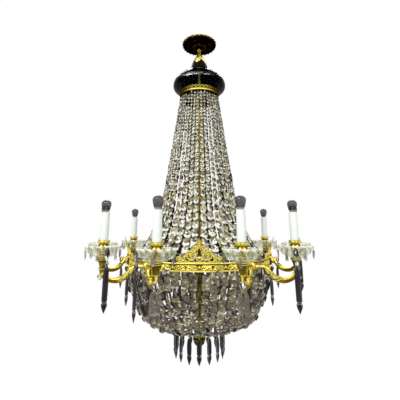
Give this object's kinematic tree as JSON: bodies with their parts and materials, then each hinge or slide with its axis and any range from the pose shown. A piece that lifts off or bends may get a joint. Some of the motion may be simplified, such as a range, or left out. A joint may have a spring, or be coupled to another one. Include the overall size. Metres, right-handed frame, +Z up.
{
  "type": "crystal chandelier",
  "caption": "Tent and basket crystal chandelier: crystal strands from a smoked glass crown to a gilt ring with curved candle arms, and a basket below.",
  "frame": {"origin": "middle of the mounting bar's top face, on the ceiling", "axes": "+Z up to the ceiling, -Y to the front, between two arms that hang over a crest; the mounting holes lie along X"},
  "size_m": [0.9215, 0.8874, 1.3485],
  "materials": {
    "gilt_brass": "polished gilt, chased relief",
    "antique_gilt": "dark antique gilt",
    "black_enamel": "black enamel",
    "smoked_glass": "blown smoked glass",
    "crystal": "cut lead crystal",
    "strand_crystal": "cut lead crystal on brass pins",
    "pan_glass": "pressed fluted glass",
    "bulb_glass": "clear bulb glass",
    "candle_white": "white candle cover",
    "lamp_holder": "white lamp holder",
    "steel": "plated steel"
  },
  "bodies": {
    "ceiling_fixing": {"mounting_bar": "steel", "mounting_nipple": "steel", "lock_nut": "steel", "ceiling_canopy": "antique_gilt", "canopy_ball": "gilt_brass", "hanging_eye": "gilt_brass"},
    "hanging_link": {"hanging_link": "gilt_brass"},
    "chandelier": {"arm_roots": "gilt_brass", "arm_spears": "crystal", "arms": "gilt_brass", "basket_strands": "strand_crystal", "bobeche_drops": "crystal", "bobeches": "pan_glass", "bottom_ring": "gilt_brass", "candle_covers": "candle_white", "candle_cups": "gilt_brass", "central_rod": "steel", "crown_baluster": "gilt_brass", "crown_band": "gilt_brass", "crown_dome": "smoked_glass", "crown_loop": "gilt_brass", "crown_neck": "black_enamel", "crown_plate": "steel", "lamp_sockets": "lamp_holder", "leaf_cap": "gilt_brass", "ring_band": "gilt_brass", "ring_crests": "gilt_brass", "ring_spider": "steel", "rod_sleeve": "gilt_brass", "spear_hooks": "gilt_brass", "tent_strands": "strand_crystal", "trumpet_cups": "gilt_brass", "wiring_hub": "gilt_brass"},
    "bulb_01": {"bulb_01": "bulb_glass"},
    "bulb_02": {"bulb_02": "bulb_glass"},
    "bulb_03": {"bulb_03": "bulb_glass"},
    "bulb_04": {"bulb_04": "bulb_glass"},
    "bulb_05": {"bulb_05": "bulb_glass"},
    "bulb_06": {"bulb_06": "bulb_glass"},
    "bulb_07": {"bulb_07": "bulb_glass"},
    "bulb_08": {"bulb_08": "bulb_glass"},
    "bulb_09": {"bulb_09": "bulb_glass"},
    "bulb_10": {"bulb_10": "bulb_glass"},
    "spear_01": {"spear_01": "crystal"},
    "spear_02": {"spear_02": "crystal"},
    "spear_03": {"spear_03": "crystal"},
    "spear_04": {"spear_04": "crystal"},
    "spear_05": {"spear_05": "crystal"},
    "spear_06": {"spear_06": "crystal"},
    "spear_07": {"spear_07": "crystal"},
    "spear_08": {"spear_08": "crystal"},
    "spear_09": {"spear_09": "crystal"},
    "spear_10": {"spear_10": "crystal"},
    "spear_11": {"spear_11": "crystal"},
    "spear_12": {"spear_12": "crystal"},
    "spear_13": {"spear_13": "crystal"},
    "spear_14": {"spear_14": "crystal"},
    "spear_15": {"spear_15": "crystal"},
    "spear_16": {"spear_16": "crystal"},
    "finial": {"finial": "gilt_brass"}
  },
  "joints": [
    {"name": "link_swing", "type": "hinge", "parent": "ceiling_fixing", "child": "hanging_link", "pos_m": [0, 0, -0.05693], "axis": [1, 0, 0], "range_deg": [-8, 8]},
    {"name": "chandelier_swing", "type": "hinge", "parent": "hanging_link", "child": "chandelier", "pos_m": [0, 0, -0.06773], "axis": [0, 1, 0], "range_deg": [-8, 8]},
    {"name": "bulb_01_screw", "type": "hinge", "parent": "chandelier", "child": "bulb_01", "pos_m": [-0.12361, -0.38042, -0.82193], "axis": [0, 0, 1], "continuous": true},
    {"name": "bulb_02_screw", "type": "hinge", "parent": "chandelier", "child": "bulb_02", "pos_m": [0.12361, -0.38042, -0.82193], "axis": [0, 0, 1], "continuous": true},
    {"name": "bulb_03_screw", "type": "hinge", "parent": "chandelier", "child": "bulb_03", "pos_m": [0.32361, -0.23511, -0.82193], "axis": [0, 0, 1], "continuous": true},
    {"name": "bulb_04_screw", "type": "hinge", "parent": "chandelier", "child": "bulb_04", "pos_m": [0.4, 0, -0.82193], "axis": [0, 0, 1], "continuous": true},
    {"name": "bulb_05_screw", "type": "hinge", "parent": "chandelier", "child": "bulb_05", "pos_m": [0.32361, 0.23511, -0.82193], "axis": [0, 0, 1], "continuous": true},
    {"name": "bulb_06_screw", "type": "hinge", "parent": "chandelier", "child": "bulb_06", "pos_m": [0.12361, 0.38042, -0.82193], "axis": [0, 0, 1], "continuous": true},
    {"name": "bulb_07_screw", "type": "hinge", "parent": "chandelier", "child": "bulb_07", "pos_m": [-0.12361, 0.38042, -0.82193], "axis": [0, 0, 1], "continuous": true},
    {"name": "bulb_08_screw", "type": "hinge", "parent": "chandelier", "child": "bulb_08", "pos_m": [-0.32361, 0.23511, -0.82193], "axis": [0, 0, 1], "continuous": true},
    {"name": "bulb_09_screw", "type": "hinge", "parent": "chandelier", "child": "bulb_09", "pos_m": [-0.4, 0, -0.82193], "axis": [0, 0, 1], "continuous": true},
    {"name": "bulb_10_screw", "type": "hinge", "parent": "chandelier", "child": "bulb_10", "pos_m": [-0.32361, -0.23511, -0.82193], "axis": [0, 0, 1], "continuous": true},
    {"name": "spear_01_swing", "type": "hinge", "parent": "chandelier", "child": "spear_01", "pos_m": [0, -0.094, -1.25693], "axis": [-1, 0, 0], "range_deg": [-25, 25]},
    {"name": "spear_02_swing", "type": "hinge", "parent": "chandelier", "child": "spear_02", "pos_m": [0.03597, -0.08685, -1.25693], "axis": [-0.9239, -0.3827, 0], "range_deg": [-25, 25]},
    {"name": "spear_03_swing", "type": "hinge", "parent": "chandelier", "child": "spear_03", "pos_m": [0.06647, -0.06647, -1.25693], "axis": [-0.7071, -0.7071, 0], "range_deg": [-25, 25]},
    {"name": "spear_04_swing", "type": "hinge", "parent": "chandelier", "child": "spear_04", "pos_m": [0.08685, -0.03597, -1.25693], "axis": [-0.3827, -0.9239, 0], "range_deg": [-25, 25]},
    {"name": "spear_05_swing", "type": "hinge", "parent": "chandelier", "child": "spear_05", "pos_m": [0.094, 0, -1.25693], "axis": [0, -1, 0], "range_deg": [-25, 25]},
    {"name": "spear_06_swing", "type": "hinge", "parent": "chandelier", "child": "spear_06", "pos_m": [0.08685, 0.03597, -1.25693], "axis": [0.3827, -0.9239, 0], "range_deg": [-25, 25]},
    {"name": "spear_07_swing", "type": "hinge", "parent": "chandelier", "child": "spear_07", "pos_m": [0.06647, 0.06647, -1.25693], "axis": [0.7071, -0.7071, 0], "range_deg": [-25, 25]},
    {"name": "spear_08_swing", "type": "hinge", "parent": "chandelier", "child": "spear_08", "pos_m": [0.03597, 0.08685, -1.25693], "axis": [0.9239, -0.3827, 0], "range_deg": [-25, 25]},
    {"name": "spear_09_swing", "type": "hinge", "parent": "chandelier", "child": "spear_09", "pos_m": [0, 0.094, -1.25693], "axis": [1, 0, 0], "range_deg": [-25, 25]},
    {"name": "spear_10_swing", "type": "hinge", "parent": "chandelier", "child": "spear_10", "pos_m": [-0.03597, 0.08685, -1.25693], "axis": [0.9239, 0.3827, 0], "range_deg": [-25, 25]},
    {"name": "spear_11_swing", "type": "hinge", "parent": "chandelier", "child": "spear_11", "pos_m": [-0.06647, 0.06647, -1.25693], "axis": [0.7071, 0.7071, 0], "range_deg": [-25, 25]},
    {"name": "spear_12_swing", "type": "hinge", "parent": "chandelier", "child": "spear_12", "pos_m": [-0.08685, 0.03597, -1.25693], "axis": [0.3827, 0.9239, 0], "range_deg": [-25, 25]},
    {"name": "spear_13_swing", "type": "hinge", "parent": "chandelier", "child": "spear_13", "pos_m": [-0.094, 0, -1.25693], "axis": [0, 1, 0], "range_deg": [-25, 25]},
    {"name": "spear_14_swing", "type": "hinge", "parent": "chandelier", "child": "spear_14", "pos_m": [-0.08685, -0.03597, -1.25693], "axis": [-0.3827, 0.9239, 0], "range_deg": [-25, 25]},
    {"name": "spear_15_swing", "type": "hinge", "parent": "chandelier", "child": "spear_15", "pos_m": [-0.06647, -0.06647, -1.25693], "axis": [-0.7071, 0.7071, 0], "range_deg": [-25, 25]},
    {"name": "spear_16_swing", "type": "hinge", "parent": "chandelier", "child": "spear_16", "pos_m": [-0.03597, -0.08685, -1.25693], "axis": [-0.9239, 0.3827, 0], "range_deg": [-25, 25]},
    {"name": "finial_screw", "type": "hinge", "parent": "chandelier", "child": "finial", "pos_m": [0, 0, -1.25293], "axis": [0, 0, 1], "continuous": true}
  ]
}
